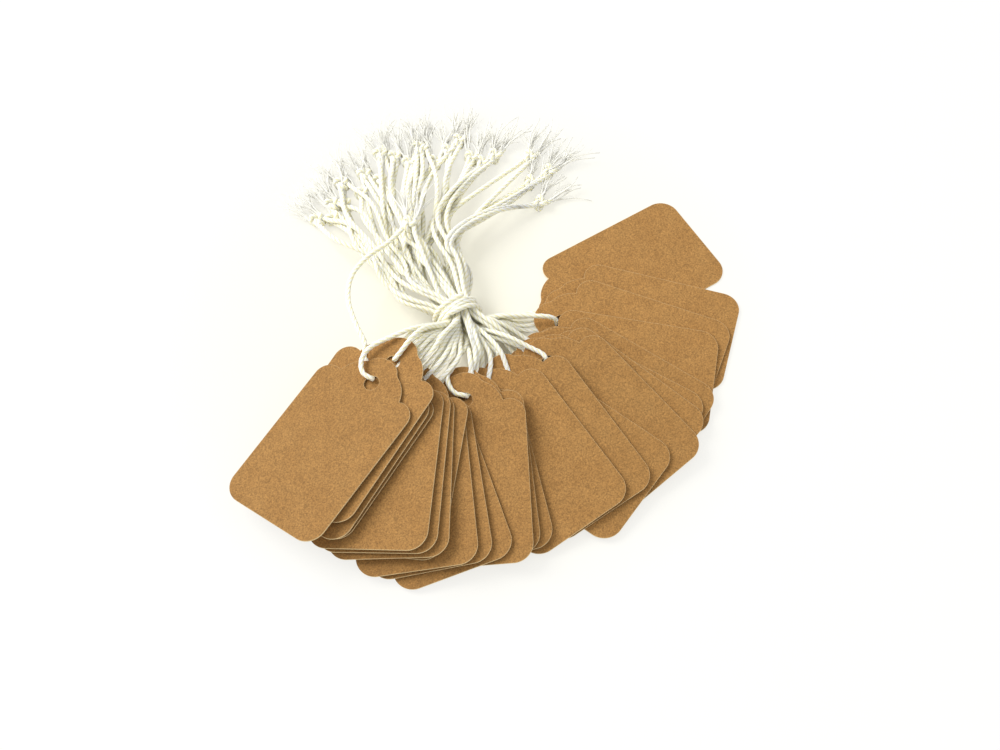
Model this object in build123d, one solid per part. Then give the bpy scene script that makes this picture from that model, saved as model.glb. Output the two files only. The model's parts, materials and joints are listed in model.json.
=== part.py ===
"""A tied bundle of strung kraft gift tags, fanned out on a table.

Every tag is one die-cut card with a scalloped end and a punched hole.  A cotton string
runs through each hole, both its strands go under the tie, and a knot closes it.
X is to the right, Y away from the viewer, Z up, with the table at Z = 0.
"""
from build123d import *
import math
import os

os.makedirs("parts", exist_ok=True)

# Tag card
TAG_WIDTH = 30.0
TAG_LENGTH = 50.0
CARD = 0.35
HOLE_D = 4.0
HOLE_FROM_TOP = 7.3
CORNER_R = 5.0
SHOULDER_R = 4.0
SHOULDER_DROP = 0.6
NOTCH_SHARE = 0.64
# The scallop right of the dome, from the notch up: across as a share of half the notch span,
# upward as a share of the height from the hole to the top of the tag.
LOBE_SHARES = (0.85, 0.28)
WAIST_END_SHARES = (0.62, 0.55)
WAIST_SHARES = (0.52, 0.62)
DOME_END_SHARES = (0.40, 0.80)
DOME_SHARES = (0.22, 0.95)

# String: full where it runs free, pressed thin where it lies between two cards
STRING_D = 0.9
STRING_SIDES = 4
PRESSED = 0.25
PRESSED_TURN = 1.2
PRESSED_ROOM = 0.05
PRESSED_REACH = 15.5
FREE_RUN = 2.0
JOIN = 0.6
OVER_OFFSET = 0.3
UNDER_OFFSET = 1.2
RUN_SHARE = 0.45
BEND_MOST = 10.0
NECK_PITCH = 1.1
NECK_COLUMN_PITCH = 1.0
NECK_LENGTH = 6.0
NECK_GROUPS = (5, 7, 7, 6)
NECK_BEARING = 120.0
# The fan before the neck: each strand arches over to its own bearing, between that of its hole
# and an even spread from the first tag to the last
ARCH_REACH = 11.0
ARCH_RISE = 1.2
ARCH_BEARINGS = (-135.0, 12.0)
ARCH_EVEN_SHARE = 0.45
ARCH_APART = 3.0
# The tassel behind the neck: bearings for the first and the last string, and how much of the
# neck's width and height the strands keep on the way
BACK_REACH = 15.0
BACK_BEARINGS = (150.0, 85.0)
BACK_WIDTH_SHARE = 0.85
BACK_HEIGHT_SHARE = 0.8
TASSEL_REACH = 30.0
TASSEL_BEARINGS = (146.0, 72.0)
TASSEL_HEIGHT_SHARE = 0.35
KNOT_BEARINGS = (139.0, 60.0)
KNOT_REACHES = (
    51.0, 48.0, 52.0, 49.5, 56.0, 50.0, 55.5, 51.5, 60.0, 57.5, 54.5, 59.0,
    52.5, 58.5, 53.5, 57.0, 60.5, 54.5, 53.0, 56.0, 58.0, 50.0, 55.5, 44.5,
)
KNOT_D = 2.2
KNOT_LENGTH = 2.6
KNOT_END_SHARE = 0.7
TAIL_LENGTH = 8.0
TAIL_SPREAD = 1.0
# The top tag's string: its knot lies on top of the tassel.  One strand bends aside on the way to
# the tie, and the strand from under the tag hangs loose beside it.  Places are given by bearing,
# reach and height.
TOP_KNOT = (116.5, 30.0, 9.0)
TOP_KNOT_HEADING = 80.0
TOP_RUN = 3.0
TOP_ROUTE = ((-142.0, 25.5, 16.4), (-139.0, 14.0, 16.6))
LOOSE_RUN = 9.0
LOOSE_ROUTE = ((-144.0, 22.0, 17.0), (180.0, 28.0, 14.0), (158.0, 28.5, 12.0), (137.0, 28.0, 10.0))

# Tie: one string wound round the neck of the bundle
TIE_D = 1.0
TIE_PITCH = 1.5
TIE_TURNS = 3
TIE_ROOM = 0.15
TIE_ENDS = 3.0
TIE_ARCS = 4
TIE_SIDES = 6
TABLE_ROOM = 0.05

# Fan: bearing and reach of the hole from the tie, then the bearing of the tag's long axis.
# The first tag is the top one, the last lies on the table.
FAN = (
    (-130.0, 32.5, -125.5),
    (-129.5, 25.0, -122.5),
    (-126.5, 28.5, -122.5),
    (-125.0, 27.5, -123.5),
    (-125.0, 30.0, -95.5),
    (-122.0, 29.5, -94.5),
    (-120.0, 30.0, -91.5),
    (-113.5, 27.5, -99.5),
    (-114.5, 31.5, -84.0),
    (-112.0, 31.0, -81.0),
    (-112.5, 33.5, -71.0),
    (-85.5, 27.0, -87.0),
    (-86.5, 25.0, -83.5),
    (-89.5, 25.5, -76.5),
    (-73.5, 25.0, -55.0),
    (-56.0, 24.0, -55.5),
    (-65.5, 28.5, -36.0),
    (-31.5, 27.5, -49.0),
    (-32.0, 25.5, -39.0),
    (-38.0, 25.0, -29.5),
    (-24.0, 25.5, -32.5),
    (-24.5, 26.0, -9.5),
    (1.0, 27.0, -20.0),
    (10.5, 30.5, -15.0),
    (13.0, 29.0, 32.0),
)
TAGS = len(FAN)
FAN_START = -132.0
FAN_END = 23.0
SIDE_TILT = 10.0
FLAT_TAGS = 12
TOP_SLOPE = 9.0
SWING = 5.0
CARD_ROOM = 0.06

STRING_STEPS = 6

UP = Vector(0, 0, 1)
HOLE_TO_END = TAG_LENGTH - HOLE_FROM_TOP
NOTCH_SPAN = NOTCH_SHARE * TAG_WIDTH
STRING_LAYER = PRESSED + 2 * PRESSED_ROOM
LOW_SLOPE = math.degrees(math.atan(STRING_LAYER / HOLE_TO_END))


def plan(bearing, reach=1.0):
    """A level vector of that length at that bearing."""
    return Vector(reach * math.cos(math.radians(bearing)), reach * math.sin(math.radians(bearing)))


def at_bearing(bearing, reach, height):
    """A point given by its bearing and reach from the tie and its height over the table."""
    return plan(bearing, reach) + UP * height


def between(ends, share):
    """The value that lies that share of the way from the first end to the last."""
    return ends[0] + (ends[1] - ends[0]) * share


class Place:
    """Where one card lies: its hole, its plane and the directions along and across it."""

    def __init__(self, index):
        self.bearing, self.reach, axis = FAN[index]
        from_table = TAGS - 1 - index
        sideways = math.tan(math.radians(SIDE_TILT * min(1.0, from_table / FLAT_TAGS)))
        outward = math.tan(math.radians(LOW_SLOPE + (TOP_SLOPE - LOW_SLOPE) * from_table / (TAGS - 1)))
        lean = FAN_START + (FAN_END - FAN_START) * index / (TAGS - 1)
        self.slope = plan(lean + 90) * sideways - plan(lean) * outward
        self.normal = (UP - self.slope).normalized()
        self.hole = plan(self.bearing, self.reach)
        self.along = (plan(axis) + UP * self.slope.dot(plan(axis))).normalized()

    def height(self, point):
        """Height of the card's middle plane over a point of the table."""
        return self.hole.Z + self.slope.dot(Vector(point.X - self.hole.X, point.Y - self.hole.Y))

    def outline(self, swing):
        """The card's rough outline on the table, with the card turned about its hole."""
        half = TAG_WIDTH / 2
        top = HOLE_FROM_TOP
        right = ((half, -HOLE_TO_END), (half, -SHOULDER_R), (NOTCH_SPAN / 2, 0), (top / 2, top))
        left = tuple((-across, up) for across, up in reversed(right))
        out = self.along.rotate(Axis((0, 0, 0), self.normal), swing)
        side = self.normal.cross(out)
        return [self.hole + side * across - out * up for across, up in right + left]

    def plane(self):
        """The card's own plane: across it, towards its scalloped end, and up."""
        return Plane(origin=self.hole, x_dir=self.normal.cross(self.along), z_dir=self.normal)

    def string_points(self):
        """Points of the table under the pressed string, from the hole towards the tie."""
        step = (self.reach - PRESSED_REACH) / STRING_STEPS
        return [plan(self.bearing, self.reach - step * count) for count in range(STRING_STEPS + 1)]


def side_of(point, start, end):
    """Positive where a point lies left of the line from start to end."""
    return (end.X - start.X) * (point.Y - start.Y) - (end.Y - start.Y) * (point.X - start.X)


def edges_of(outline):
    return zip(outline, outline[1:] + outline[:1])


def holds(outline, point):
    return all(side_of(point, start, end) >= 0 for start, end in edges_of(outline))


def shared_corners(one, two):
    """The corners of the area that two convex outlines share."""
    corners = [point for point in one if holds(two, point)] + [point for point in two if holds(one, point)]
    for a, b in edges_of(one):
        for c, d in edges_of(two):
            at_a, at_b = side_of(a, c, d), side_of(b, c, d)
            if at_a * at_b < 0 and side_of(c, a, b) * side_of(d, a, b) < 0:
                corners.append(a + (b - a) * (at_a / (at_a - at_b)))
    return corners


def lay_cards():
    """Lay the cards from the table up, each clear of the cards and strings below it."""
    places = [Place(index) for index in range(TAGS)]
    outlines = [[place.outline(swing) for swing in (-SWING, 0.0, SWING)] for place in places]
    string_room = CARD + STRING_LAYER
    for index in reversed(range(TAGS)):
        card = places[index]
        lifts = [CARD / 2 - card.height(point) for turned in outlines[index] for point in turned]
        lifts += [CARD / 2 + STRING_LAYER - card.height(point) for point in card.string_points()]
        for below in range(index + 1, TAGS):
            other = places[below]
            rise = {CARD + CARD_ROOM: [], string_room: []}
            for mine in outlines[index]:
                for its in outlines[below]:
                    rise[CARD + CARD_ROOM] += shared_corners(mine, its)
            for point in card.string_points():
                if holds(outlines[below][1], point):
                    rise[string_room].append(point)
            for point in other.string_points():
                if holds(outlines[index][1], point):
                    rise[string_room].append(point)
            for room, points in rise.items():
                lifts += [other.height(point) - card.height(point) + room for point in points]
        card.hole = card.hole + UP * max(lifts)
    return places


PLACES = lay_cards()


def tag_card(place):
    """One die-cut card with its scalloped end and its hole, laid at its place."""
    half = TAG_WIDTH / 2
    notch = NOTCH_SPAN / 2
    shoulder = (half - SHOULDER_R, -SHOULDER_DROP - SHOULDER_R)
    notch_turn = math.degrees(math.acos((notch - shoulder[0]) / SHOULDER_R))

    def on_shoulder(turn):
        rise = plan(turn, SHOULDER_R)
        return (shoulder[0] + rise.X, shoulder[1] + rise.Y)

    def on_scallop(shares):
        return (notch * shares[0], HOLE_FROM_TOP * shares[1])

    with BuildSketch() as card:
        with BuildLine():
            Line((0, -HOLE_TO_END), (half - CORNER_R, -HOLE_TO_END))
            CenterArc((half - CORNER_R, CORNER_R - HOLE_TO_END), CORNER_R, -90, 90)
            Line((half, CORNER_R - HOLE_TO_END), (half, shoulder[1]))
            ThreePointArc((half, shoulder[1]), on_shoulder(notch_turn / 2), on_shoulder(notch_turn))
            ThreePointArc(on_shoulder(notch_turn), on_scallop(LOBE_SHARES), on_scallop(WAIST_END_SHARES))
            ThreePointArc(
                on_scallop(WAIST_END_SHARES), on_scallop(WAIST_SHARES), on_scallop(DOME_END_SHARES)
            )
            ThreePointArc(on_scallop(DOME_END_SHARES), on_scallop(DOME_SHARES), (0, HOLE_FROM_TOP))
            Line((0, HOLE_FROM_TOP), (0, -HOLE_TO_END))
        make_face()
        mirror(about=Plane.YZ)
        Circle(HOLE_D / 2, mode=Mode.SUBTRACT)
    return place.plane() * extrude(card.sketch, CARD / 2, both=True)


def route_radii(points):
    """The arcs of a route, one for each corner, as large as its runs leave room for."""
    radii = []
    for before, corner, after in zip(points, points[1:], points[2:]):
        turn = math.radians((corner - before).get_angle(after - corner))
        shorter = min((corner - before).length, (after - corner).length)
        radii.append(min(BEND_MOST, RUN_SHARE * shorter / math.tan(turn / 2)))
    return radii


def tube(points, diameter):
    """A faceted string along a route of straight runs and tangent arcs."""
    path = FilletPolyline(*points, radius=route_radii(points))
    start = Plane(origin=path @ 0, z_dir=path % 0)
    solid = sweep(start * RegularPolygon(diameter / 2, STRING_SIDES), path)
    return solid, path.length


# Neck: the slots in which the strands lie side by side under the tie.  A group of strings fills
# two columns, the strands from over the cards in one and those from under the cards beside it.
NECK_AXIS = plan(NECK_BEARING)
NECK_SIDE = plan(NECK_BEARING - 90)


def neck_slots():
    """Across and up for both strands of each string, from the first tag's side, top down."""
    slots = []
    first = -NECK_COLUMN_PITCH * (len(NECK_GROUPS) - 1 / 2)
    for group, count in enumerate(NECK_GROUPS):
        over = first + 2 * group * NECK_COLUMN_PITCH
        for row in range(count):
            up = NECK_PITCH * ((count - 1) / 2 - row)
            slots.append((over + NECK_COLUMN_PITCH, up + NECK_PITCH / 4))
            slots.append((over, up - NECK_PITCH / 4))
    return slots


SLOTS = neck_slots()
NECK_R = max(math.hypot(across, up) for across, up in SLOTS) + STRING_D / 2
TIE_R = NECK_R + TIE_ROOM + TIE_D / 2
NECK_HEIGHT = TIE_R + TIE_D / 2 + TABLE_ROOM


def in_neck(slot, along):
    """A point of the neck, at that slot and that far along it towards the knots."""
    return NECK_SIDE * slot[0] + NECK_AXIS * along + UP * (NECK_HEIGHT + slot[1])


def string_side(upper):
    """The side to which a string under one card makes room for the string on the next card."""
    if upper < 0 or upper + 1 >= TAGS:
        return 1
    return 1 if FAN[upper + 1][0] >= FAN[upper][0] else -1


def pressed_points(index):
    """The pressed stretch: over the card, down through its hole and back under the card."""
    place = PLACES[index]
    level = -plan(place.bearing)
    inward = (level + UP * place.slope.dot(level)).normalized()
    aside = inward.cross(place.normal)
    lift = place.normal * (CARD / 2 + PRESSED_ROOM + PRESSED / 2)
    over = aside * OVER_OFFSET * string_side(index - 1) + lift
    under = aside * -UNDER_OFFSET * string_side(index) - lift
    turn = place.hole + inward * PRESSED_TURN
    over_run = under_run = place.reach - PRESSED_REACH
    if index == 0:
        over_run, under_run = TOP_RUN, LOOSE_RUN
    over_end = place.hole + inward * over_run + over
    return [over_end, turn + over, turn + under, place.hole + inward * under_run + under]


def knot_place(index):
    """The middle of a string's knot, and the bearing in which its tails lie."""
    if index == 0:
        return at_bearing(*TOP_KNOT), TOP_KNOT_HEADING
    bearing = between(KNOT_BEARINGS, (index - 1) / (TAGS - 2))
    reach = KNOT_REACHES[(index - 1) % len(KNOT_REACHES)]
    return plan(bearing, reach) + UP * (KNOT_D / 2 + TABLE_ROOM), bearing


def way_to_knot(index, strand, start):
    """The free strand: arched over to the neck or loose beside it, then to the knot and its tail."""
    knot, heading = knot_place(index)
    across = plan(heading - 90) * (STRING_D / 2 + PRESSED_ROOM) * (-1 if strand else 1)
    ends = [knot + across, knot + plan(heading, TAIL_LENGTH) + across * (1 + 2 * TAIL_SPREAD)]
    if index == 0 and strand == 1:
        return [at_bearing(*place) for place in LOOSE_ROUTE] + ends
    share = index / (TAGS - 1)
    slot = SLOTS[2 * index + strand]
    mouth = in_neck(slot, -NECK_LENGTH / 2)
    leave = in_neck(slot, NECK_LENGTH / 2)
    bearing = between((FAN[index][0], between(ARCH_BEARINGS, share)), ARCH_EVEN_SHARE)
    arch = plan(bearing - ARCH_APART * strand, ARCH_REACH) + UP * ((start.Z + mouth.Z) / 2 + ARCH_RISE)
    if index == 0:
        return [at_bearing(*place) for place in TOP_ROUTE] + [mouth, leave] + ends
    fall = leave.Z - knot.Z
    back = plan(between(BACK_BEARINGS, share), BACK_REACH) + NECK_SIDE * slot[0] * BACK_WIDTH_SHARE
    back = back + UP * (knot.Z + fall * BACK_HEIGHT_SHARE)
    middle = plan(between(TASSEL_BEARINGS, share), TASSEL_REACH) + across
    middle = middle + UP * (knot.Z + fall * TASSEL_HEIGHT_SHARE)
    return [arch, mouth, leave, back, middle] + ends


def knot_solid(index):
    """The overhand knot as a six-sided barrel round both strands."""
    knot, heading = knot_place(index)
    middle = Plane(origin=knot, x_dir=UP, z_dir=plan(heading))
    end = RegularPolygon(KNOT_END_SHARE * KNOT_D / 2, 6)
    return middle * loft([
        Pos(0, 0, -KNOT_LENGTH / 2) * end,
        RegularPolygon(KNOT_D / 2, 6),
        Pos(0, 0, KNOT_LENGTH / 2) * end,
    ], ruled=True)


def string_routes(index):
    """The three routes of a string: its pressed stretch and its two free strands."""
    over_end, turn_over, turn_under, under_end = pressed_points(index)
    over = way_to_knot(index, 0, over_end)
    under = way_to_knot(index, 1, under_end)
    over_run = (over[0] - over_end).normalized()
    under_run = (under[0] - under_end).normalized()
    pressed = [over_end + over_run * (FREE_RUN + JOIN), over_end, turn_over]
    pressed += [turn_under, under_end, under_end + under_run * (FREE_RUN + JOIN)]
    return [
        (pressed, PRESSED),
        ([over_end + over_run * FREE_RUN] + over, STRING_D),
        ([under_end + under_run * FREE_RUN] + under, STRING_D),
    ]


def string_solid(index):
    """One string: pressed stretch, two strands with their tails, and the knot."""
    solids = [knot_solid(index)]
    for points, diameter in string_routes(index):
        solid, length = tube(points, diameter)
        section = RegularPolygon(diameter / 2, STRING_SIDES).area
        radii = [round(radius, 1) for radius in route_radii(points)]
        print("string", index + 1, "length", round(length, 1), "radii", radii,
              "volume over section by length", round(solid.volume / section / length, 3))
        solids.append(solid)
    return solids[0].fuse(*solids[1:])


def tie_point(turn):
    """Where the wound string is after that many turns, and which way it heads."""
    angle = math.radians(90 - 360 * turn)
    out = NECK_SIDE * math.cos(angle) + UP * math.sin(angle)
    heading = NECK_SIDE * math.sin(angle) - UP * math.cos(angle)
    point = UP * NECK_HEIGHT + NECK_AXIS * TIE_PITCH * (turn - TIE_TURNS / 2) + out * TIE_R
    return point, (heading * 2 * math.pi * TIE_R + NECK_AXIS * TIE_PITCH).normalized()


def biarc(start, end):
    """Two arcs that touch each other and keep the heading at both ends."""
    (first, heading), (last, ending) = start, end
    span = last - first
    both = heading + ending
    square = 4 - both.dot(both)
    reach = (-span.dot(both) + math.sqrt(span.dot(both) ** 2 + square * span.dot(span))) / square
    joint = (first + heading * reach + last - ending * reach) / 2
    arc = Edge.make_tangent_arc(first, heading, joint)
    return [arc, Edge.make_tangent_arc(joint, arc % 1, last)]


def tie_solid():
    """The tie: one string wound round the neck, both ends cut short."""
    stations = [tie_point(count / TIE_ARCS) for count in range(TIE_TURNS * TIE_ARCS + 1)]
    (first, heading), (last, ending) = stations[0], stations[-1]
    edges = [Edge.make_line(first - heading * TIE_ENDS, first)]
    for start, end in zip(stations, stations[1:]):
        edges += biarc(start, end)
    edges.append(Edge.make_line(last, last + ending * TIE_ENDS))
    path = Wire(edges)
    section = Plane(origin=path @ 0, z_dir=path % 0) * RegularPolygon(TIE_D / 2, TIE_SIDES)
    solid = sweep(section, path)
    ratio = solid.volume / (section.area * path.length)
    print("tie length", round(path.length, 1), "volume over section by length", round(ratio, 3))
    return solid


CARDS = [tag_card(place) for place in PLACES]
box = Compound(CARDS).bounding_box()
TO_ORIGIN = Pos(-box.center().X, -box.center().Y, -box.min.Z)

for number, card in enumerate(CARDS, 1):
    export_step(TO_ORIGIN * card, f"parts/tag_{number:02d}.step")
for index in range(TAGS):
    export_step(TO_ORIGIN * string_solid(index), f"parts/string_{index + 1:02d}.step")
export_step(TO_ORIGIN * tie_solid(), "parts/tie_string.step")
print("neck radius", round(NECK_R, 2), "tie gap to itself", round(TIE_PITCH - TIE_D, 2))
print("cards", [round(size, 1) for size in box.size], "shift", [round(v, 3) for v in TO_ORIGIN.position])
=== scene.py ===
import json
import math
import random

import bpy
from mathutils import Euler, Matrix, Vector


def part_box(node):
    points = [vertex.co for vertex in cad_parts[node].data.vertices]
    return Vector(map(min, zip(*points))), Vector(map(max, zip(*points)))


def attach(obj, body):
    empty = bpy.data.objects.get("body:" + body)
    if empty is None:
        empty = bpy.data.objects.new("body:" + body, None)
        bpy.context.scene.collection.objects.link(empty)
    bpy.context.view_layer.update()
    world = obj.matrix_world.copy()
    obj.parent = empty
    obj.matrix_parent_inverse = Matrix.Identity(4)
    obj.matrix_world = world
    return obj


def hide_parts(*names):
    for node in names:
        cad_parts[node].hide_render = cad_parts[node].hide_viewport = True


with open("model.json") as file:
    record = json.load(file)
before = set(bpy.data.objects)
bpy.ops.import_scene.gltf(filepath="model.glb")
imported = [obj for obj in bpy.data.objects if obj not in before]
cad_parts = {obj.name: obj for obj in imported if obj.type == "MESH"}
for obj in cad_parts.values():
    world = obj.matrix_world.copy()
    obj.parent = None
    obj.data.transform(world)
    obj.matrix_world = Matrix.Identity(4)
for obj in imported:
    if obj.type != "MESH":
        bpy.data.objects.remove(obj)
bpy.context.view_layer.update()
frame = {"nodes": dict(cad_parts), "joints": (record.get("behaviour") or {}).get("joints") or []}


# The cards.  Each one is die-cut from unbleached kraft board about 0.35 mm thick: a brown sheet
# with a cloudy tone, short fibres and a paler cut edge.  The cut edge and a thin rim along it are
# painted lighter still as a highlight, and a painted shade makes the first cards darker and the
# last ones lighter.  The solids are right as they are, so each card only gets its board, with the
# pattern laid along that card.

def linear(code):
    """An sRGB hex colour as the linear colour that a shader socket takes."""
    parts = [int(code[place:place + 2], 16) / 255 for place in (1, 3, 5)]
    return [part / 12.92 if part <= 0.04045 else ((part + 0.055) / 1.055) ** 2.4 for part in parts] + [1.0]


def add_node(tree, kind, sockets, **settings):
    """Add one node: a socket of another node is linked to an input, any other value is set on it."""
    made = tree.nodes.new(kind)
    for name, value in settings.items():
        setattr(made, name, value)
    for name, value in sockets.items():
        if isinstance(value, bpy.types.NodeSocket):
            tree.links.new(value, made.inputs[name])
        else:
            made.inputs[name].default_value = value
    return made


def kraft_board(number, hole, normal, along):
    """Kraft board: matt, uncoated and pressed smooth, so it shows fibres and cloudy tone, no gloss."""
    # Real fibres are some 0.03 mm wide, finer than a pixel, so fibres and grain are drawn coarser.
    cloud, dark_cloud, light_cloud = 0.007, "#9B713D", "#A57B45"
    grain, grain_shades = 0.00034, (0.67, 1.33)
    fleck, fleck_shade = 0.0009, 0.84
    fibre_width, fibre_length, fibre_shades = 0.00016, 0.0012, (0.93, 1.10)
    fibre_turns = (0.6, -0.9)
    # The cut edge is paler board, painted lighter still as a highlight where the edges catch light.
    cut_edge_and_highlight = "#E2CA9C"
    # A painted highlight: a thin lighter rim along every edge of the card, found with a bevel.
    edge_highlight_width, edge_highlight_tone, edge_highlight_most = 0.00026, "#DDC294", 0.75
    # Each card's tone differs at random; on top of that a painted shade makes the first cards darker and the
    # last ones lighter.
    tone_spread, painted_shade_slope, middle_card = 0.025, 0.0045, 13
    tone_and_shade = random.Random(number).uniform(-tone_spread, tone_spread) + painted_shade_slope * (number - middle_card)
    board = bpy.data.materials.new(f"kraft_board_{number:02d}")
    board.use_nodes = True
    tree = board.node_tree
    skin = tree.nodes["Principled BSDF"]
    turn = Matrix((along.cross(normal), along, normal)).transposed().to_euler()
    where = add_node(tree, "ShaderNodeTexCoord", {})
    laid = add_node(tree, "ShaderNodeMapping", {
        "Vector": where.outputs["Object"], "Location": hole, "Rotation": turn}, vector_type="TEXTURE")
    clouds = add_node(tree, "ShaderNodeTexNoise", {
        "Vector": laid.outputs["Vector"], "Scale": 1 / cloud, "Detail": 3.0, "Roughness": 0.6})
    cloudy = add_node(tree, "ShaderNodeValToRGB", {"Fac": clouds.outputs["Fac"]})
    cloudy.color_ramp.elements[0].position = 0.30
    cloudy.color_ramp.elements[0].color = linear(dark_cloud)
    cloudy.color_ramp.elements[1].position = 0.72
    cloudy.color_ramp.elements[1].color = linear(light_cloud)
    grains = add_node(tree, "ShaderNodeTexNoise", {
        "Vector": laid.outputs["Vector"], "Scale": 1 / grain, "Detail": 2.0, "Roughness": 0.6})
    shade = add_node(tree, "ShaderNodeMapRange", {
        "Value": grains.outputs["Fac"], "From Min": 0.30, "From Max": 0.70,
        "To Min": grain_shades[0], "To Max": grain_shades[1]})
    flecks = add_node(tree, "ShaderNodeTexNoise", {
        "Vector": laid.outputs["Vector"], "Scale": 1 / fleck, "Detail": 2.0, "Roughness": 0.5})
    specks = add_node(tree, "ShaderNodeMapRange", {
        "Value": flecks.outputs["Fac"], "From Min": 0.62, "From Max": 0.74,
        "To Min": 1.0, "To Max": fleck_shade})
    shade = add_node(tree, "ShaderNodeMath", {0: shade.outputs["Result"], 1: specks.outputs["Result"]},
                     operation="MULTIPLY")
    for fibre_turn in fibre_turns:
        turned = add_node(tree, "ShaderNodeMapping", {
            "Vector": laid.outputs["Vector"], "Rotation": (0, 0, fibre_turn)}, vector_type="TEXTURE")
        drawn = add_node(tree, "ShaderNodeMapping", {
            "Vector": turned.outputs["Vector"],
            "Scale": (1 / fibre_width, 1 / fibre_length, 1 / fibre_width)})
        fibres = add_node(tree, "ShaderNodeTexNoise", {
            "Vector": drawn.outputs["Vector"], "Scale": 1.0, "Detail": 2.0, "Roughness": 0.6,
            "Distortion": 1.2})
        streaks = add_node(tree, "ShaderNodeMapRange", {
            "Value": fibres.outputs["Fac"], "From Min": 0.35, "From Max": 0.72,
            "To Min": fibre_shades[0], "To Max": fibre_shades[1]})
        shade = add_node(tree, "ShaderNodeMath", {0: shade.outputs["Value"], 1: streaks.outputs["Result"]},
                         operation="MULTIPLY")
    faced = add_node(tree, "ShaderNodeVectorMath", {0: cloudy.outputs["Color"]}, operation="SCALE")
    tree.links.new(shade.outputs["Value"], faced.inputs["Scale"])
    facing = add_node(tree, "ShaderNodeVectorMath", {0: where.outputs["Normal"], 1: normal},
                      operation="DOT_PRODUCT")
    upright = add_node(tree, "ShaderNodeMath", {0: facing.outputs["Value"]}, operation="ABSOLUTE")
    # Faces across the card are its cut edge: paler board and painted highlight in one colour.
    cut = add_node(tree, "ShaderNodeMath", {0: upright.outputs["Value"], 1: 0.5}, operation="LESS_THAN")
    whole = add_node(tree, "ShaderNodeMix", {
        "Factor": cut.outputs["Value"], "A": faced.outputs["Vector"], "B": linear(cut_edge_and_highlight)},
        data_type="RGBA")
    # Painted highlight: near an edge, where the bevelled normal leans from the true one, the colour turns
    # lighter.
    shape = add_node(tree, "ShaderNodeNewGeometry", {})
    rounded = add_node(tree, "ShaderNodeBevel", {"Radius": edge_highlight_width}, samples=6)
    leaning = add_node(tree, "ShaderNodeVectorMath", {
        0: shape.outputs["True Normal"], 1: rounded.outputs["Normal"]}, operation="DOT_PRODUCT")
    edge_highlight = add_node(tree, "ShaderNodeMapRange", {
        "Value": leaning.outputs["Value"], "From Min": 0.75, "From Max": 0.98,
        "To Min": edge_highlight_most, "To Max": 0.0})
    whole = add_node(tree, "ShaderNodeMix", {
        "Factor": edge_highlight.outputs["Result"], "A": whole.outputs["Result"], "B": linear(edge_highlight_tone)},
        data_type="RGBA")
    # Random tone plus painted shade: darker on the first cards, lighter on the last.
    toned = add_node(tree, "ShaderNodeHueSaturation", {
        "Color": whole.outputs["Result"], "Value": 1.0 + tone_and_shade})
    raised = add_node(tree, "ShaderNodeBump", {
        "Height": grains.outputs["Fac"], "Strength": 0.25, "Distance": 0.00006})
    tree.links.new(toned.outputs["Color"], skin.inputs["Base Color"])
    tree.links.new(raised.outputs["Normal"], skin.inputs["Normal"])
    skin.inputs["Roughness"].default_value = 0.82
    skin.inputs["Specular IOR Level"].default_value = 0.3
    return board


holes = []
normals = []
far_from_hole = 0.036
for number, joint in enumerate(frame["joints"], 1):
    card = frame["nodes"][f"tag_{number:02d}"]
    hole, normal = Vector(joint["pos_m"]), Vector(joint["axis"]).normalized()
    bottom = [corner.co for corner in card.data.vertices if (corner.co - hole).length > far_from_hole]
    along = sum(bottom, Vector()) / len(bottom) - hole
    along = (along - normal * along.dot(normal)).normalized()
    card.data.materials.clear()
    card.data.materials.append(kraft_board(number, hole, normal, along))
    holes.append(hole)
    normals.append(normal)


# The strings.  Each card hangs on one soft cotton string of three plies, ivory white: it comes over
# the card, goes down through the hole and back under the card, and both strands lie under the
# tie.  Between two cards the string is pressed flat; where a hole lies open it stays round.

string_width = 0.00135
pressed = 0.00025
pressed_room = 0.00005
card_thickness = 0.00035
over_offset, under_offset = 0.0003, 0.0012
cards_end = 0.0165
arch_reach, arch_rise = 0.011, 0.0012
fan_bearings = (-137.0, 9.0)
neck_pitch, neck_column_pitch = 0.0011, 0.0010
neck_length = 0.006
neck_groups = (5, 7, 7, 6)
neck_bearing = 120.0
knot_lift = 0.00115
strand_apart = 0.0005
tail_length = 0.0032
open_holes = (0, 1, 11, 17, 22)
knot_bearings = (139.0, 60.0)
knot_reaches = (51.0, 48.0, 52.0, 49.5, 56.0, 50.0, 55.5, 51.5, 60.0, 57.5, 54.5, 59.0,
                52.5, 58.5, 53.5, 57.0, 60.5, 54.5, 53.0, 56.0, 58.0, 50.0, 55.5, 44.5)
up = Vector((0, 0, 1))
tie_low, tie_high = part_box("tie_string")
tie = (tie_low + tie_high) / 2
on_table = Vector((tie.x, tie.y, 0))


def plan(bearing, reach=1.0):
    """A level vector of that length at that bearing."""
    return Vector((math.cos(math.radians(bearing)), math.sin(math.radians(bearing)), 0)) * reach


def spots(*places):
    """Points from their bearing and reach round the tie and their height, the last two in mm."""
    return [on_table + plan(turn, out / 1000) + up * height / 1000 for turn, out, height in places]


def between(ends, share):
    """The value that lies that share of the way from the first end to the last."""
    return ends[0] + (ends[1] - ends[0]) * share


neck_axis, neck_side = plan(neck_bearing), plan(neck_bearing - 90)
bearings = [math.degrees(math.atan2(hole.y - tie.y, hole.x - tie.x)) for hole in holes]
neck_slots = []
for group, count in enumerate(neck_groups):
    column = neck_column_pitch * (2 * group - len(neck_groups) + 0.5)
    for row in range(count):
        height = neck_pitch * ((count - 1) / 2 - row)
        neck_slots.append(((column + neck_column_pitch, height + neck_pitch / 4),
                           (column, height - neck_pitch / 4)))


def gap_side(upper):
    """The side to which a string under one card makes room for the string on the next card."""
    if upper < 0 or upper + 1 >= len(bearings):
        return 1
    return 1 if bearings[upper + 1] >= bearings[upper] else -1


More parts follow.
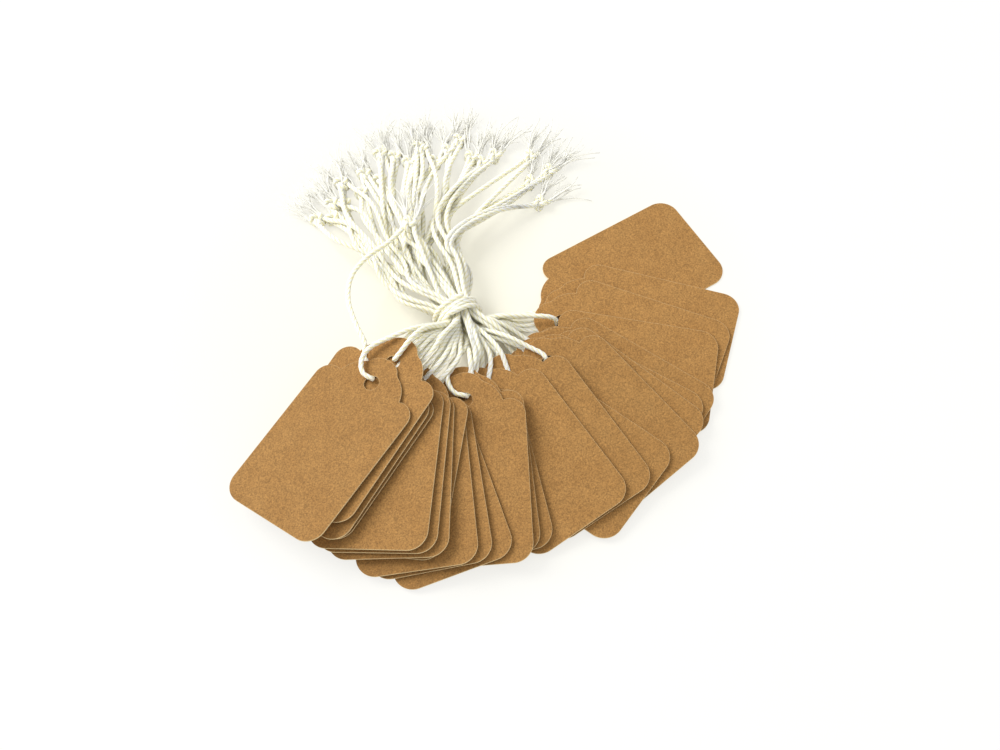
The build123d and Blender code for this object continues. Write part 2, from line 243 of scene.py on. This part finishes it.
def on_card(index, turn, out):
    """The point of a card's middle plane at that bearing and reach round the tie."""
    hole, normal = holes[index], normals[index]
    point = on_table + plan(turn, out)
    point.z = hole.z - (normal.x * (point.x - hole.x) + normal.y * (point.y - hole.y)) / normal.z
    return point


# How far each string turns from its hole's bearing to an even place in the fan, on its card and in its arch.
card_spread, open_spread, arch_spread = 0.7, 0.45, 0.85
card_spreads = {index: open_spread for index in open_holes} | {8: 0.85, 9: 0.85, 10: 0.2}
arch_spreads = {10: 0.3}

# Where a strand bends at a scalloped end, or a card covers part of a hole, it keeps clear by these.
under_turn, under_turns = 4, {7: 9}
over_lifts = {1: 0.0010, 15: 0.0007}
under_lifts = {11: 0.0009, 15: -0.0006, 20: -0.0004}
hole_turn, hole_turns = 0.00096, {22: 0.00126}
over_sides = {22: 0}
rim_reach = 0.0030
straight_dive = 0.7


def pressed_route(index):
    """Over the card, down through its hole and back under the card."""
    hole, normal = holes[index], normals[index]
    even_place = between(fan_bearings, index / (len(holes) - 1))
    bearing = between((bearings[index], even_place), card_spreads.get(index, card_spread))
    end = on_card(index, bearing, cards_end)
    low_end = on_card(index, bearing - under_turns.get(index, under_turn), cards_end)
    inward = (end - hole).normalized()
    aside = inward.cross(normal)
    flat_lift = normal * (card_thickness / 2 + pressed_room + pressed / 2)
    lift = normal * (card_thickness + string_width) / 2 if index in open_holes else flat_lift
    over = aside * over_offset * over_sides.get(index, gap_side(index - 1)) + lift
    make_room = aside * under_offset * gap_side(index)
    under = -make_room - flat_lift
    turn = hole + inward * hole_turns.get(index, hole_turn)
    rim = hole + inward * rim_reach
    down = [end + over + up * over_lifts.get(index, 0), rim + over]
    dive = turn + under
    leaving = [low_end + under + up * under_lifts.get(index, 0)]
    if index in open_holes[1:]:
        dive = dive + make_room * straight_dive
    if index == 0:
        down = spots((-136.0, 32.8, 15.7))
        leaving = spots((-143.0, 29.0, 13.52), (-146.0, 27.8, 13.8))
    elif index == 11:
        down = [hole + Vector((-0.0040, 0.0095, 0.0008)) + over,
                hole + Vector((-0.0049, 0.0053, 0.0004)) + over,
                hole + Vector((-0.0030, 0.0015, 0)) + over]
        card_edge, below_edge = 0.0193, 0.00015
        leaving.insert(0, on_card(index, bearing - under_turn, card_edge) + under - up * below_edge)
    elif index == 17:
        down = spots((-30.2, 20.8, 8.1), (-29.3, 25.0, 7.7))
    elif index == 22:
        down = spots((1.5, 17.5, 5.4), (1.3, 24.0, 5.1))
    return down + [turn + over], [dive, rim + under] + leaving


# Three places on the way from the tie to the knots: the bearings of the first and the last string,
# the reach, how far a strand wanders there, its share of the fall and how far it may rise.
tassel_places = (((160.0, 84.0), 0.0145, 0.0012, 0.85, 0.0012),
                 ((152.0, 88.0), 0.022, 0.0034, 0.6, 0.0030),
                 ((146.0, 84.0), 0.031, 0.0046, 0.35, 0.0038))
still_gathered = 0.85
last_wander, last_lift, last_rise = 0.0036, 0.0006, 0.0030
swept_strings, swept_turn = range(13, 21), 6
strand_turn, turn_sway = 3, 1.5
strands_part, tails_part = 2, 3
top_heading, top_rise = 80.0, 0.002
outer_strings, outer_rise = (23, 24), 0.001


def strand_route(index, strand, start, sway):
    """From the cards in an arch through the neck, or loose beside it, to the knot and the tail."""
    share = index / (len(holes) - 1)
    heading = between(knot_bearings, (index - 1) / (len(holes) - 2))
    heading = heading + (swept_turn if index in swept_strings else 0)
    knot = on_table + plan(heading, knot_reaches[index - 1] / 1000) + up * knot_lift
    if index == 0:
        heading = top_heading
        knot = spots((116.5, 30.0, 9.0))[0]
    across = plan(heading - 90) * strand_apart * (-1 if strand else 1)
    tail = knot + plan(heading, tail_length) + across * tails_part
    if index == 0 and strand == 1:
        loop = spots((-150.5, 26.4, 14.55), (-158.0, 26.5, 14.5), (-166.0, 26.8, 14.3), (180.0, 28.2, 13.6),
                     (163.0, 29.2, 12.2), (146.0, 28.5, 10.6), (131.0, 27.5, 9.6))
        return loop + [knot + across, tail]
    slot = neck_slots[index][strand]
    leave = tie + neck_side * slot[0] + neck_axis * neck_length / 2 + up * slot[1]
    mouth = leave - neck_axis * neck_length
    bulge = [sway.uniform(-1, 1) for count in range(6)]
    rise = [sway.uniform(0, 1) for count in range(4)]
    if index == 0:
        top = spots((-143.0, 29.7, 15.6), (-145.0, 25.8, 15.9), (-142.5, 21.5, 16.6), (-138.0, 14.0, 16.0))
        return top + [mouth, leave, (leave + knot) / 2 + up * top_rise, knot + across, tail]
    even_place = between(fan_bearings, share)
    turn = between((bearings[index], even_place), arch_spreads.get(index, arch_spread))
    turn = turn - strand_turn * strand + turn_sway * bulge[5]
    arch_height = (start.z + mouth.z) / 2 + arch_rise * (1 + bulge[4] * (1 - strand))
    arch = on_table + plan(turn, arch_reach) + up * arch_height
    if index == 17 and strand == 0:
        arch = spots((-33.0, 14.5, 9.8))[0]
    fall = leave.z - knot_lift
    ripple = plan(heading - 90)
    places = []
    for (ends, reach, wander, height, lift), bend, climb in zip(tassel_places, bulge, rise):
        place = on_table + plan(between(ends, share), reach) + ripple * bend * wander
        places.append(place + up * (knot_lift + fall * height + climb * lift))
    back, first, middle = places
    back = back + neck_side * slot[0] * still_gathered
    second = (middle + knot) / 2 + across * strands_part + ripple * bulge[3] * last_wander
    second = second + up * (last_lift + rise[3] * last_rise)
    if index in outer_strings:
        first, middle, second = spots((103.0 - 3 * strand, 20.0, 9.0), (91.0 - 4 * strand, 27.5, 8.0),
                                      (74.0 - 2 * strand, 36.0, 5.6))
        second = second + up * outer_rise * rise[3]
    return [arch, mouth, leave, back, first, middle, second, knot + across, tail]


def spline_line(name, points, step):
    """Points at even steps along the smooth spline that has those route points as its controls."""
    route = bpy.data.curves.new(name, "CURVE")
    route.dimensions = "3D"
    route.resolution_u = 48
    run = route.splines.new("NURBS")
    run.points.add(len(points) - 1)
    for control, point in zip(run.points, points):
        control.co = (*point, 1.0)
    run.order_u = 3
    run.use_endpoint_u = True
    holder = bpy.data.objects.new(name, route)
    bpy.context.scene.collection.objects.link(holder)
    bpy.context.view_layer.update()
    drawn = bpy.data.meshes.new_from_object(holder.evaluated_get(bpy.context.evaluated_depsgraph_get()))
    fine = [corner.co.copy() for corner in drawn.vertices]
    bpy.data.objects.remove(holder)
    bpy.data.curves.remove(route)
    bpy.data.meshes.remove(drawn)
    line, walked = [fine[0]], 0.0
    for start, end in zip(fine, fine[1:]):
        length = (end - start).length
        while length > 0 and walked + length >= step:
            start = start + (end - start) * ((step - walked) / length)
            length = (end - start).length
            walked = 0.0
            line.append(start)
        walked += length
    return line


plies = 3
ply_groove = 0.07
yarn_sides = 12
yarn_lay = 0.0052
yarn_step = 0.0004
round_again = 0.003


def pressing(line, index, flat_ends):
    """The normal of the card and the string's share of its thickness at each point: flat between
    the cards, and round again within a few millimetres of leaving them."""
    hole, normal = holes[index], normals[index]
    nearest = min(range(len(line)), key=lambda place: (line[place] - hole).length)
    shares = []
    for place, point in enumerate(line):
        past = (point - hole).length - flat_ends[0 if place < nearest else 1]
        share = min(1.0, max(0.0, past / round_again + 0.5))
        if place < nearest and index in open_holes:
            share = 1.0
        shares.append((normal, between((pressed / string_width, 1.0), share)))
    return shares


def lay_yarn(corners, faces, depths, line, width, pressed_by=None):
    """Twist three plies along a line of even steps, pressed at each point along a normal to a share."""
    first = len(corners)
    heading = (line[1] - line[0]).normalized()
    side = heading.orthogonal().normalized()
    for place, middle in enumerate(line):
        ahead = (line[min(place + 1, len(line) - 1)] - line[max(place - 1, 0)]).normalized()
        side = (side - ahead * side.dot(ahead)).normalized()
        other = ahead.cross(side)
        twist = 2 * math.pi * place * yarn_step / yarn_lay
        for spoke in range(yarn_sides):
            angle = 2 * math.pi * spoke / yarn_sides
            ply = math.cos(plies * angle)
            out = (side * math.cos(angle + twist) + other * math.sin(angle + twist)) * width / 2
            out = out * (1 - ply_groove + ply_groove * ply)
            if pressed_by:
                normal, thickness = pressed_by[place]
                out = out - normal * out.dot(normal) * (1 - thickness)
            corners.append(middle + out)
            depths.append(0.5 + 0.5 * ply)
    for ring in range(len(line) - 1):
        for spoke in range(yarn_sides):
            near = first + ring * yarn_sides
            after = (spoke + 1) % yarn_sides
            faces.append((near + spoke, near + after, near + yarn_sides + after, near + yarn_sides + spoke))
    faces.append(tuple(first + spoke for spoke in reversed(range(yarn_sides))))
    last = first + (len(line) - 1) * yarn_sides
    faces.append(tuple(last + spoke for spoke in range(yarn_sides)))


def cotton_piece(name, corners, faces, depths, yarn_faces=None):
    """One smooth cotton object with its ply depth; faces after the yarn's are loose fibres."""
    mesh = bpy.data.meshes.new(name)
    mesh.from_pydata(corners, [], faces)
    depth = mesh.attributes.new("ply_depth", "FLOAT", "POINT")
    depth.data.foreach_set("value", depths)
    mesh.polygons.foreach_set("use_smooth", [True] * len(mesh.polygons))
    mesh.materials.append(cotton)
    if yarn_faces:
        mesh.materials.append(loose_cotton)
        mesh.polygons.foreach_set("material_index", [int(face >= yarn_faces) for face in range(len(faces))])
    piece = bpy.data.objects.new(name, mesh)
    bpy.context.scene.collection.objects.link(piece)
    return piece


# Cotton yarn: soft spun and unbleached, so it is matt and ivory; the grooves between the plies are
# painted darker and yellower as shade.
# Its fibres are too fine to show, so they are drawn 0.22 mm wide.
cotton = bpy.data.materials.new("cotton_yarn")
cotton.use_nodes = True
tree = cotton.node_tree
skin = tree.nodes["Principled BSDF"]
spun_fibre = 0.00022
where = add_node(tree, "ShaderNodeTexCoord", {})
depth = add_node(tree, "ShaderNodeAttribute", {}, attribute_name="ply_depth")
fuzz = add_node(tree, "ShaderNodeTexNoise", {
    "Vector": where.outputs["Object"], "Scale": 1 / spun_fibre, "Detail": 3.0, "Roughness": 0.6})
# Painted shade: the colour darkens and yellows towards the grooves between the plies.
ply_tone_and_groove_shade = add_node(tree, "ShaderNodeValToRGB", {"Fac": depth.outputs["Fac"]})
ply_tone_and_groove_shade.color_ramp.elements[0].position = 0.0
ply_tone_and_groove_shade.color_ramp.elements[0].color = linear("#EAE2B4")
ply_tone_and_groove_shade.color_ramp.elements[1].position = 0.55
ply_tone_and_groove_shade.color_ramp.elements[1].color = linear("#FDFBEB")
spread = add_node(tree, "ShaderNodeMapRange", {
    "Value": fuzz.outputs["Fac"], "From Min": 0.3, "From Max": 0.7, "To Min": 0.93, "To Max": 1.02})
ivory = add_node(tree, "ShaderNodeVectorMath", {0: ply_tone_and_groove_shade.outputs["Color"]}, operation="SCALE")
tree.links.new(spread.outputs["Result"], ivory.inputs["Scale"])
fluffy = add_node(tree, "ShaderNodeBump", {
    "Height": fuzz.outputs["Fac"], "Strength": 0.4, "Distance": 0.00008})
tree.links.new(ivory.outputs["Vector"], skin.inputs["Base Color"])
tree.links.new(fluffy.outputs["Normal"], skin.inputs["Normal"])
skin.inputs["Roughness"].default_value = 0.9
skin.inputs["Specular IOR Level"].default_value = 0.2
skin.inputs["Sheen Weight"].default_value = 0.15
skin.inputs["Sheen Roughness"].default_value = 0.5
skin.inputs["Subsurface Weight"].default_value = 0.5
skin.inputs["Subsurface Radius"].default_value = (1.0, 0.93, 0.62)
skin.inputs["Subsurface Scale"].default_value = 0.0014

# Loose cotton fibres: teased out of the yarn, so light passes through them and a tail's brush is white.
loose_cotton = bpy.data.materials.new("loose_cotton_fibres")
loose_cotton.use_nodes = True
tree = loose_cotton.node_tree
tree.nodes.remove(tree.nodes["Principled BSDF"])
tuft = 0.0006
where = add_node(tree, "ShaderNodeTexCoord", {})
uneven = add_node(tree, "ShaderNodeTexNoise", {
    "Vector": where.outputs["Object"], "Scale": 1 / tuft, "Detail": 2.0})
white = add_node(tree, "ShaderNodeValToRGB", {"Fac": uneven.outputs["Fac"]})
white.color_ramp.elements[0].color = linear("#F8F6EC")
white.color_ramp.elements[1].color = linear("#FFFFFC")
lit = add_node(tree, "ShaderNodeBsdfDiffuse", {"Color": white.outputs["Color"]})
through = add_node(tree, "ShaderNodeBsdfTranslucent", {"Color": white.outputs["Color"]})
both = add_node(tree, "ShaderNodeMixShader", {
    "Fac": 0.2, 1: lit.outputs["BSDF"], 2: through.outputs["BSDF"]})
tree.links.new(both.outputs["Shader"], tree.nodes["Material Output"].inputs["Surface"])


def overhand_knot(corners, faces, depths, middle, along):
    """A tight overhand knot in both strands: one yarn that passes through its own loop."""
    length, breadth, height = 0.0020, 0.0016, 0.0008
    knot_yarn = string_width * 1.05
    steps = 60
    side = up.cross(along).normalized()
    top = along.cross(side)
    loop = []
    for count in range(steps + 1):
        turn = 2 * math.pi * count / steps
        x = (math.sin(turn) + 2 * math.sin(2 * turn)) / 3
        y = (math.cos(turn) - 2 * math.cos(2 * turn)) / 3
        loop.append(middle + along * y * length + side * x * breadth - top * math.sin(3 * turn) * height)
    lay_yarn(corners, faces, depths, loop, knot_yarn)


def fray(corners, faces, depths, root, along, hand, count, lengths, thickness, spread):
    """The cut end of a tail comes apart: that many plies or fibres, which spread, curl and taper."""
    bends, sides = 6, 5
    lift, level = 0.24, 0.8
    curl_aside, curl_down, curl_up = 0.4, -0.4, 0.2
    root_spread, root_depth = 0.0002, 0.0012
    wave_share, wave_turn = 0.05, 7
    taper = 0.65
    side = up.cross(along).normalized()
    top = along.cross(side)
    for strand in range(count):
        heading = along + side * hand.gauss(0, spread) + top * hand.gauss(lift, spread * level)
        heading.normalize()
        curl = side * hand.gauss(0, curl_aside) + top * hand.uniform(curl_down, curl_up)
        wave = hand.uniform(0, 2 * math.pi)
        length = hand.uniform(*lengths)
        start = root + side * hand.gauss(0, root_spread) + top * hand.gauss(0, root_spread)
        start = start - along * root_depth
        first = len(corners)
        for bend in range(bends + 1):
            gone = bend / bends
            point = start + heading * length * gone + curl * length * gone * gone * 0.5
            point = point + side * wave_share * length * gone * math.sin(wave + wave_turn * gone)
            point.z = max(point.z, thickness)
            for spoke in range(sides):
                angle = 2 * math.pi * spoke / sides
                rim = (side * math.cos(angle) + top * math.sin(angle)) * thickness / 2 * (1 - taper * gone)
                corners.append(point + rim)
                depths.append(1.0)
        for bend in range(bends):
            for spoke in range(sides):
                near = first + bend * sides
                after = (spoke + 1) % sides
                faces.append((near + spoke, near + after, near + sides + after, near + sides + spoke))
        faces.append(tuple(first + spoke for spoke in reversed(range(sides))))
        faces.append(tuple(first + bends * sides + spoke for spoke in range(sides)))


# Each cut end: how many plies and fibres come loose, their lengths, thickness and spread.
loose_plies = 8, (0.0060, 0.0110), 0.00062, 0.13
loose_fibres = 6, (0.0050, 0.0120), 0.00022, 0.20
first_seed = 400
end_steps = 4
for index in range(len(holes)):
    hand = random.Random(first_seed + index)
    down, back_up = pressed_route(index)
    over = strand_route(index, 0, down[0], hand)
    under = strand_route(index, 1, back_up[-1], hand)
    line = spline_line("string_route", list(reversed(over)) + down + back_up + under, yarn_step)
    flat_ends = (down[0] - holes[index]).length, (back_up[-1] - holes[index]).length
    corners, faces, depths = [], [], []
    lay_yarn(corners, faces, depths, line, string_width, pressing(line, index, flat_ends))
    string = cotton_piece(f"cotton_string_{index + 1:02d}", corners, faces, depths)
    at_over = min(line[:len(line) // 3], key=lambda point: (point - over[-2]).length)
    at_under = min(line[-len(line) // 3:], key=lambda point: (point - under[-2]).length)
    tails = (over[-1] + under[-1] - over[-2] - under[-2]).normalized()
    corners, faces, depths = [], [], []
    overhand_knot(corners, faces, depths, (at_over + at_under) / 2, tails)
    yarn_faces = len(faces)
    for root, before in ((line[0], line[end_steps]), (line[-1], line[-1 - end_steps])):
        along = (root - before).normalized()
        fray(corners, faces, depths, root, along, hand, *loose_plies)
        fray(corners, faces, depths, root, along, hand, *loose_fibres)
    knot = cotton_piece(f"knot_{index + 1:02d}", corners, faces, depths, yarn_faces)
    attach(string, "strings")
    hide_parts(f"string_{index + 1:02d}")
    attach(knot, "strings")


# The tie.  One more piece of the same string is wound three times round the strands and cut short
# on both sides, which holds all the strings of the bundle together.

tie_turns = 3
tie_pitch = 0.0015
tie_end = 0.003
tie_slant, slant_drift = 0.0006, 1.3
tie_sink, tie_slack = 0.0005, 1.017
points_per_turn = 12
tie_radius = ((tie_high.z - tie_low.z) / 2 - tie_sink) * tie_slack
tie_route = []
for count in range(tie_turns * points_per_turn + 1):
    turned = count / points_per_turn
    angle = math.radians(90 - 360 * turned)
    out = neck_side * math.cos(angle) + up * math.sin(angle)
    slant = tie_slant * math.sin(angle + slant_drift * turned)
    tie_route.append(tie + neck_axis * (tie_pitch * (turned - tie_turns / 2) + slant) + out * tie_radius)
tie_route.insert(0, tie_route[0] - neck_side * tie_end)
tie_route.append(tie_route[-1] + neck_side * tie_end)
line = spline_line("tie_route", tie_route, yarn_step)
corners, faces, depths = [], [], []
lay_yarn(corners, faces, depths, line, string_width)
tie_piece = cotton_piece("cotton_tie", corners, faces, depths)
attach(tie_piece, "strings")
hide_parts("tie_string")


# The table, the light and the camera.  The bundle lies on a white sheet under one broad soft lamp
# from behind on the left, with even light all round, seen from 60 degrees above.

sheet_size = 3.0
bpy.ops.object.select_all(action="DESELECT")
bpy.ops.mesh.primitive_plane_add(size=sheet_size, location=(0, 0, 0))
sheet = bpy.context.object
sheet.name = "white_sheet"

# White paper: matt, overexposed to white further off, except in the shade under the middle of the
# fan; near the tie its glow is cream, a painted warm shade round the strings.
cream_shade_from, pale_from, white_from = 0.020, 0.015, 0.085
least_pale, most_pale = 0.50, 0.88
fan_middle = on_table + plan(-62, 0.011)
shade_to, light_from = 0.012, 0.020
paper = bpy.data.materials.new("white_paper")
paper.use_nodes = True
tree = paper.node_tree
skin = tree.nodes["Principled BSDF"]
skin.inputs["Base Color"].default_value = linear("#FBF8EA")
skin.inputs["Roughness"].default_value = 0.95
skin.inputs["Specular IOR Level"].default_value = 0.0
where = add_node(tree, "ShaderNodeTexCoord", {})
away = add_node(tree, "ShaderNodeVectorMath", {0: where.outputs["Object"], 1: on_table}, operation="DISTANCE")
overexposed = add_node(tree, "ShaderNodeMapRange", {
    "Value": away.outputs["Value"], "From Min": pale_from, "From Max": white_from,
    "To Min": least_pale, "To Max": most_pale})
under_fan = add_node(tree, "ShaderNodeVectorMath", {
    0: where.outputs["Object"], 1: fan_middle}, operation="DISTANCE")
unshaded = add_node(tree, "ShaderNodeMapRange", {
    "Value": under_fan.outputs["Value"], "From Min": shade_to, "From Max": light_from})
overexposed = add_node(tree, "ShaderNodeMath", {
    0: overexposed.outputs["Result"], 1: unshaded.outputs["Result"]}, operation="MULTIPLY")
seen = add_node(tree, "ShaderNodeLightPath", {})
whitened = add_node(tree, "ShaderNodeMath", {
    0: seen.outputs["Is Camera Ray"], 1: overexposed.outputs["Value"]}, operation="MULTIPLY")
# Painted warm shade: near the tie the floor's glow is cream, fading to white further off.
cream_shade_fade = add_node(tree, "ShaderNodeMapRange", {
    "Value": away.outputs["Value"], "From Min": cream_shade_from, "From Max": white_from})
cream_shade_glow = add_node(tree, "ShaderNodeMix", {
    "Factor": cream_shade_fade.outputs["Result"], "A": linear("#FAF7E6"), "B": linear("#FFFFFF")}, data_type="RGBA")
glow = add_node(tree, "ShaderNodeEmission", {"Color": cream_shade_glow.outputs["Result"], "Strength": 1.0})
shown = add_node(tree, "ShaderNodeMixShader", {
    "Fac": whitened.outputs["Value"], 1: skin.outputs["BSDF"], 2: glow.outputs["Emission"]})
tree.links.new(shown.outputs["Shader"], tree.nodes["Material Output"].inputs["Surface"])
sheet.data.materials.append(paper)

world = bpy.data.worlds.new("even_light")
bpy.context.scene.world = world
world.use_nodes = True
world.node_tree.nodes["Background"].inputs["Color"].default_value = linear("#FFFFFF")
world.node_tree.nodes["Background"].inputs["Strength"].default_value = 0.74

lamp_place = (-0.64, 0.30, 0.62)
bpy.ops.object.light_add(type="AREA", location=lamp_place)
lamp = bpy.context.object
lamp.name = "soft_lamp"
lamp.data.size = 0.55
lamp.data.energy = 8.2
lamp.rotation_euler = (-lamp.location).to_track_quat("-Z", "Y").to_euler()

looked_at = on_table + Vector((0.0109, -0.0142, 0))
distance = 0.4393
elevation = math.radians(60)
backward = Vector((0, -math.cos(elevation), math.sin(elevation)))
bpy.ops.object.camera_add(location=looked_at + backward * distance)
camera = bpy.context.object
camera.rotation_euler = Euler((math.radians(90) - elevation, 0, 0))
camera.data.sensor_width = 36.0
camera.data.lens = 61.2
camera.data.clip_start = 0.01
bpy.context.scene.camera = camera
bpy.context.scene.view_settings.view_transform = "Standard"
